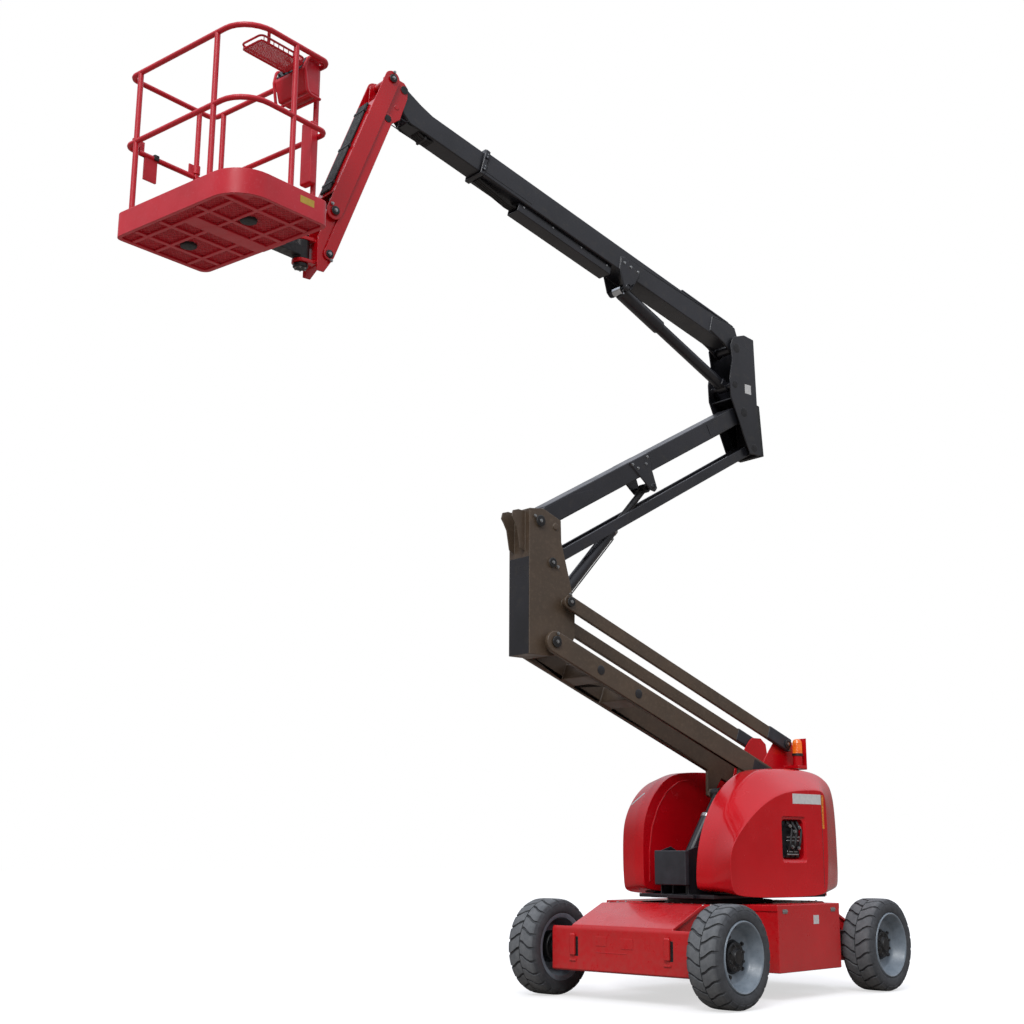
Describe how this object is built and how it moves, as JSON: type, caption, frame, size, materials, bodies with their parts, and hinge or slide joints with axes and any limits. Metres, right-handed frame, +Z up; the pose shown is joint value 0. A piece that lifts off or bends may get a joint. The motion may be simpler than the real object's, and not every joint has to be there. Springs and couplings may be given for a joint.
{
  "type": "articulating boom lift",
  "caption": "Self-propelled articulating boom lift with a slewing turret, folding parallelogram arms, a telescopic boom, a jib and a railed basket.",
  "frame": {"origin": "on the ground under the slew axis, midway between the axles", "axes": "+X along the chassis towards the fixed drive axle and the end the basket hangs over, +Y to the chassis's left, +Z up"},
  "size_m": [6.1508, 2.1177, 6.3569],
  "materials": {
    "red_paint": "gloss",
    "red_cover": "gloss",
    "red_box": "gloss",
    "black_paint": "satin",
    "black_box": "satin",
    "tyre_rubber": "matt",
    "rim_paint": "satin",
    "rod_chrome": "polished",
    "amber_lens": "clear amber",
    "cast_weight": "painted",
    "pack_casing": "matt",
    "rubber_guard": "matt",
    "dark_steel": "satin"
  },
  "bodies": {
    "chassis": {"chassis_frame": "red_paint", "front_end_cover": "red_paint", "rear_end_cover": "red_paint", "side_box_left": "red_box", "side_box_right": "red_box", "drive_axle": "dark_steel", "steer_axle": "dark_steel", "slew_ring": "dark_steel"},
    "steer_left": {"steering_knuckle_left": "dark_steel"},
    "steer_right": {"steering_knuckle_right": "dark_steel"},
    "wheel_front_left": {"tyre_front_left": "tyre_rubber", "rim_front_left": "rim_paint"},
    "wheel_front_right": {"tyre_front_right": "tyre_rubber", "rim_front_right": "rim_paint"},
    "wheel_rear_left": {"tyre_rear_left": "tyre_rubber", "rim_rear_left": "rim_paint"},
    "wheel_rear_right": {"tyre_rear_right": "tyre_rubber", "rim_rear_right": "rim_paint"},
    "turret": {"turret_frame": "black_paint", "mast": "red_paint", "hood_left": "red_cover", "hood_right": "red_cover", "hydraulic_pack": "pack_casing", "battery_pack": "pack_casing", "front_box": "black_box", "counterweight": "cast_weight", "beacon_stand": "red_paint", "beacon_lens": "amber_lens"},
    "lower_arm": {"lower_arm": "black_paint"},
    "lower_links": {"lower_link_left": "black_paint", "lower_link_right": "black_paint"},
    "lower_lift_barrel": {"lower_lift_barrel": "black_paint"},
    "lower_lift_rod": {"lower_lift_rod": "rod_chrome"},
    "knuckle_lower": {"knuckle_lower": "black_paint"},
    "upper_arm": {"upper_arm": "black_paint"},
    "upper_link": {"upper_link": "black_paint"},
    "upper_lift_barrel": {"upper_lift_barrel": "black_paint"},
    "upper_lift_rod": {"upper_lift_rod": "rod_chrome"},
    "knuckle_upper": {"knuckle_upper": "black_paint", "knuckle_guard": "rubber_guard"},
    "boom_lift_cylinder_barrel": {"boom_lift_barrel": "black_paint"},
    "boom_lift_cylinder_rod": {"boom_lift_rod": "rod_chrome"},
    "boom_outer": {"boom_outer": "black_paint", "boom_hose_channel": "black_paint"},
    "boom_fly": {"boom_fly": "black_paint"},
    "jib_head": {"jib_head": "red_paint"},
    "jib_arm": {"jib_arm": "red_paint"},
    "jib_link": {"jib_link": "red_paint"},
    "jib_lift_cylinder_barrel": {"jib_lift_barrel": "black_paint"},
    "jib_lift_cylinder_rod": {"jib_lift_rod": "rod_chrome"},
    "basket_mount": {"basket_mount": "red_paint"},
    "basket": {"basket_swivel": "dark_steel", "basket_floor": "red_paint", "basket_rails": "red_paint", "control_console": "red_box", "tool_tray": "red_paint"},
    "basket_gate": {"basket_gate": "red_paint"}
  },
  "joints": [
    {"name": "steer_left", "type": "hinge", "parent": "chassis", "child": "steer_left", "pos_m": [-1.003, 0.568, 0.34], "axis": [0, 0, 1], "range_deg": [-30, 30]},
    {"name": "steer_right", "type": "hinge", "parent": "chassis", "child": "steer_right", "pos_m": [-1.003, -0.568, 0.34], "axis": [0, 0, 1], "range_deg": [-30, 30]},
    {"name": "wheel_front_left_spin", "type": "hinge", "parent": "chassis", "child": "wheel_front_left", "pos_m": [1.003, 0.789, 0.34], "axis": [0, 1, 0], "continuous": true},
    {"name": "wheel_front_right_spin", "type": "hinge", "parent": "chassis", "child": "wheel_front_right", "pos_m": [1.003, -0.789, 0.34], "axis": [0, 1, 0], "continuous": true},
    {"name": "wheel_rear_left_spin", "type": "hinge", "parent": "steer_left", "child": "wheel_rear_left", "pos_m": [-1.003, 0.789, 0.34], "axis": [0, 1, 0], "continuous": true},
    {"name": "wheel_rear_right_spin", "type": "hinge", "parent": "steer_right", "child": "wheel_rear_right", "pos_m": [-1.003, -0.789, 0.34], "axis": [0, 1, 0], "continuous": true},
    {"name": "slew", "type": "hinge", "parent": "chassis", "child": "turret", "pos_m": [0, 0, 0.685], "axis": [0, 0, 1], "range_deg": [-177.5, 177.5]},
    {"name": "lower_arm_lift", "type": "hinge", "parent": "turret", "child": "lower_arm", "pos_m": [-0.54861, 0.0771, 1.562], "axis": [-0.1392, -0.9903, 0], "range_deg": [-35.95, 44.05]},
    {"name": "lower_link_follow", "type": "hinge", "parent": "turret", "child": "lower_links", "pos_m": [-0.68329, 0.09603, 1.86], "axis": [-0.1392, -0.9903, 0], "range_deg": [-35.95, 44.05]},
    {"name": "knuckle_lower_level", "type": "hinge", "parent": "lower_arm", "child": "knuckle_lower", "pos_m": [1.74121, -0.24471, 2.4473], "axis": [-0.1392, -0.9903, 0], "range_deg": [-44.05, 35.95]},
    {"name": "lower_lift_swing", "type": "hinge", "parent": "turret", "child": "lower_lift_barrel", "pos_m": [0.32679, -0.04593, 0.9], "axis": [-0.1392, -0.9903, 0], "range_deg": [-12.6, 10.29]},
    {"name": "lower_lift_stroke", "type": "slide", "parent": "lower_lift_barrel", "child": "lower_lift_rod", "axis": [-0.5595, 0.0786, 0.8251], "range_m": [-0.15422, 0.18895]},
    {"name": "upper_arm_lift", "type": "hinge", "parent": "knuckle_lower", "child": "upper_arm", "pos_m": [1.83627, -0.25807, 3.3133], "axis": [0.1392, 0.9903, 0], "range_deg": [-34.5, 28.5]},
    {"name": "upper_link_follow", "type": "hinge", "parent": "knuckle_lower", "child": "upper_link", "pos_m": [1.72239, -0.24207, 3.0253], "axis": [0.1392, 0.9903, 0], "range_deg": [-34.5, 28.5]},
    {"name": "knuckle_upper_level", "type": "hinge", "parent": "upper_arm", "child": "knuckle_upper", "pos_m": [-0.36671, 0.05154, 4.57194], "axis": [0.1392, 0.9903, 0], "range_deg": [-28.5, 34.5]},
    {"name": "upper_lift_swing", "type": "hinge", "parent": "knuckle_lower", "child": "upper_lift_barrel", "pos_m": [1.60653, -0.22578, 2.7453], "axis": [0.1392, 0.9903, 0], "range_deg": [-28.47, 23.52]},
    {"name": "upper_lift_stroke", "type": "slide", "parent": "upper_lift_barrel", "child": "upper_lift_rod", "axis": [-0.6688, 0.094, 0.7375], "range_m": [-0.33737, 0.27872]},
    {"name": "boom_lift", "type": "hinge", "parent": "knuckle_upper", "child": "boom_outer", "pos_m": [-0.30135, 0.04235, 5.11994], "axis": [-0.1392, -0.9903, 0], "range_deg": [-15.2, 46.8]},
    {"name": "boom_lift_cylinder_swing", "type": "hinge", "parent": "knuckle_upper", "child": "boom_lift_cylinder_barrel", "pos_m": [-0.26768, 0.03762, 4.79394], "axis": [-0.1392, -0.9903, 0], "range_deg": [-13.28, 40.88]},
    {"name": "boom_lift_cylinder_stroke", "type": "slide", "parent": "boom_lift_cylinder_barrel", "child": "boom_lift_cylinder_rod", "axis": [0.8992, -0.1264, 0.4188], "range_m": [-0.07263, 0.22342]},
    {"name": "boom_extend", "type": "slide", "parent": "boom_outer", "child": "boom_fly", "axis": [0.9556, -0.1343, 0.2622], "range_m": [-0.4, 0.85]},
    {"name": "jib_head_level", "type": "hinge", "parent": "boom_fly", "child": "jib_head", "pos_m": [3.07247, -0.43181, 6.26113], "axis": [-0.1392, -0.9903, 0], "range_deg": [-46.8, 15.2]},
    {"name": "jib_lift", "type": "hinge", "parent": "jib_head", "child": "jib_arm", "pos_m": [3.19032, -0.44837, 6.29613], "axis": [-0.1392, -0.9903, 0], "range_deg": [-1, 135]},
    {"name": "jib_link_follow", "type": "hinge", "parent": "jib_head", "child": "jib_link", "pos_m": [3.2121, -0.45143, 5.98613], "axis": [-0.1392, -0.9903, 0], "range_deg": [-1, 135]},
    {"name": "basket_mount_level", "type": "hinge", "parent": "jib_arm", "child": "basket_mount", "pos_m": [3.62221, -0.50907, 5.15996], "axis": [-0.1392, -0.9903, 0], "range_deg": [-135, 1]},
    {"name": "jib_lift_cylinder_swing", "type": "hinge", "parent": "jib_head", "child": "jib_lift_cylinder_barrel", "pos_m": [3.2121, -0.45143, 5.98613], "axis": [-0.1392, -0.9903, 0], "range_deg": [-1.01, 135.13]},
    {"name": "jib_lift_cylinder_stroke", "type": "slide", "parent": "jib_lift_cylinder_barrel", "child": "jib_lift_cylinder_rod", "axis": [0.4438, -0.0624, -0.894], "range_m": [-0.00437, 0.57648]},
    {"name": "basket_rotate", "type": "hinge", "parent": "basket_mount", "child": "basket", "pos_m": [3.79847, -0.53384, 4.82996], "axis": [0, 0, 1], "range_deg": [-90, 90]},
    {"name": "gate_lift", "type": "slide", "parent": "basket", "child": "basket_gate", "axis": [0, 0, 1], "range_m": [0, 0.38]}
  ],
  "couplings": [
    {"joint": "steer_right", "follows": "steer_left", "ratio": 1},
    {"joint": "lower_link_follow", "follows": "lower_arm_lift", "ratio": 1},
    {"joint": "knuckle_lower_level", "follows": "lower_arm_lift", "ratio": -1},
    {"joint": "lower_lift_swing", "follows": "lower_arm_lift", "ratio": -0.28591},
    {"joint": "lower_lift_stroke", "follows": "lower_arm_lift", "m_per_rad": 0.24564},
    {"joint": "upper_link_follow", "follows": "upper_arm_lift", "ratio": 1},
    {"joint": "knuckle_upper_level", "follows": "upper_arm_lift", "ratio": -1},
    {"joint": "upper_lift_swing", "follows": "upper_arm_lift", "ratio": 0.82506},
    {"joint": "upper_lift_stroke", "follows": "upper_arm_lift", "m_per_rad": 0.56013},
    {"joint": "boom_lift_cylinder_swing", "follows": "boom_lift", "ratio": 0.87334},
    {"joint": "boom_lift_cylinder_stroke", "follows": "boom_lift", "m_per_rad": 0.2734},
    {"joint": "jib_head_level", "follows": "boom_lift", "ratio": -1},
    {"joint": "jib_link_follow", "follows": "jib_lift", "ratio": 1},
    {"joint": "basket_mount_level", "follows": "jib_lift", "ratio": -1},
    {"joint": "jib_lift_cylinder_swing", "follows": "jib_lift", "ratio": 1.0009},
    {"joint": "jib_lift_cylinder_stroke", "follows": "jib_lift", "m_per_rad": 0.24462}
  ]
}
